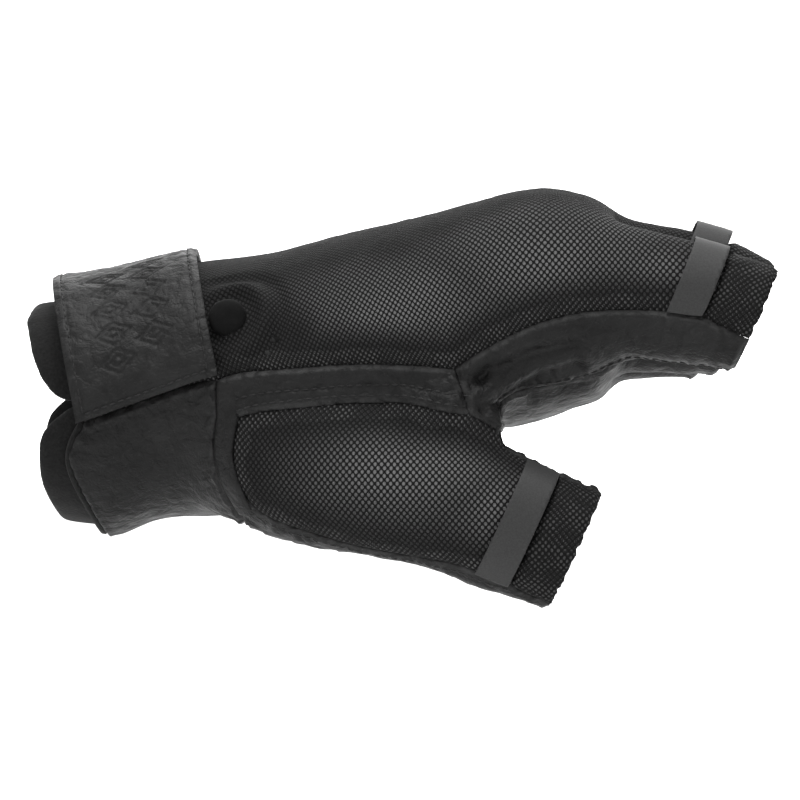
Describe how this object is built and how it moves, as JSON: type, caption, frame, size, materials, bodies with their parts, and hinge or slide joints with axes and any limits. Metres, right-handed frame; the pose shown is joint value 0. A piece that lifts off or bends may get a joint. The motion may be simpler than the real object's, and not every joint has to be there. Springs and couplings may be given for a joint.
{
  "type": "sailing glove",
  "caption": "Left-hand half-finger sailing glove with leather palm, mesh back, pull tabs and a hook-and-loop wrist strap.",
  "frame": {"origin": "centre of the cuff's mouth, where the hand goes in", "axes": "+X towards the fingers, +Z to the back of the hand, thumb on the -Y side"},
  "size_m": [0.1751, 0.1005, 0.0955],
  "materials": {
    "mesh_cloth": "stretch air mesh with a fine diamond lattice",
    "hem_cloth": "doubled mesh hem",
    "palm_leather": "soft matte full-grain leather",
    "strap_leather": "firmer satin leather, embossed",
    "neoprene": "knit-faced foam rubber",
    "pull_tab_ribbon": "smooth woven ribbon",
    "hook_and_loop": "hook and loop tape",
    "binding_tape": "folded binding tape"
  },
  "bodies": {
    "hand": {"back_panel": "mesh_cloth", "cuff_leather": "palm_leather", "thumb_bridge_strip": "palm_leather", "index_side_base": "palm_leather", "palm_panel": "palm_leather", "palm_reinforcement": "palm_leather", "thumb_back_panel": "mesh_cloth", "thumb_front_panel": "palm_leather", "thumb_fold_back": "mesh_cloth", "thumb_fold_front": "palm_leather", "knuckle_fold_back": "mesh_cloth", "index_side_fold": "palm_leather", "knuckle_fold_front": "palm_leather", "cuff_seam_tape": "palm_leather", "cuff_lining_back": "neoprene", "cuff_lining_palm": "neoprene", "cuff_binding": "binding_tape", "closure_loop_patch": "hook_and_loop", "wrist_button": "mesh_cloth"},
    "fingers": {"finger_back_panel": "mesh_cloth", "index_side_panel": "palm_leather", "finger_front_panel": "palm_leather", "fourchette_index_middle": "palm_leather", "fourchette_middle_ring": "palm_leather", "fourchette_ring_little": "palm_leather", "index_hem": "hem_cloth", "middle_hem": "hem_cloth", "ring_hem": "hem_cloth", "little_hem": "hem_cloth", "index_tab": "pull_tab_ribbon", "middle_tab": "pull_tab_ribbon", "ring_tab": "pull_tab_ribbon", "little_tab": "pull_tab_ribbon"},
    "thumb": {"thumb_end_back": "mesh_cloth", "thumb_end_front": "palm_leather", "thumb_hem": "hem_cloth", "thumb_tab": "pull_tab_ribbon"},
    "strap": {"strap_leather": "strap_leather", "strap_lining": "neoprene", "strap_hook_tape": "hook_and_loop"}
  },
  "joints": [
    {"name": "knuckle_flex", "type": "hinge", "parent": "hand", "child": "fingers", "pos_m": [0.12, 0, 0.047], "axis": [0, 1, 0], "range_deg": [-20, 30], "deforming": ["knuckle_fold_back", "index_side_fold", "knuckle_fold_front"]},
    {"name": "thumb_flex", "type": "hinge", "parent": "hand", "child": "thumb", "pos_m": [0.097, -0.04, -0.019], "axis": [0.4226, 0, 0.9063], "range_deg": [-15, 25], "deforming": ["thumb_fold_back", "thumb_fold_front"]},
    {"name": "strap_peel", "type": "hinge", "parent": "hand", "child": "strap", "pos_m": [0.0231, -0.0354, 0.0046], "axis": [0.9397, 0, 0.342], "range_deg": [0, 110]}
  ]
}
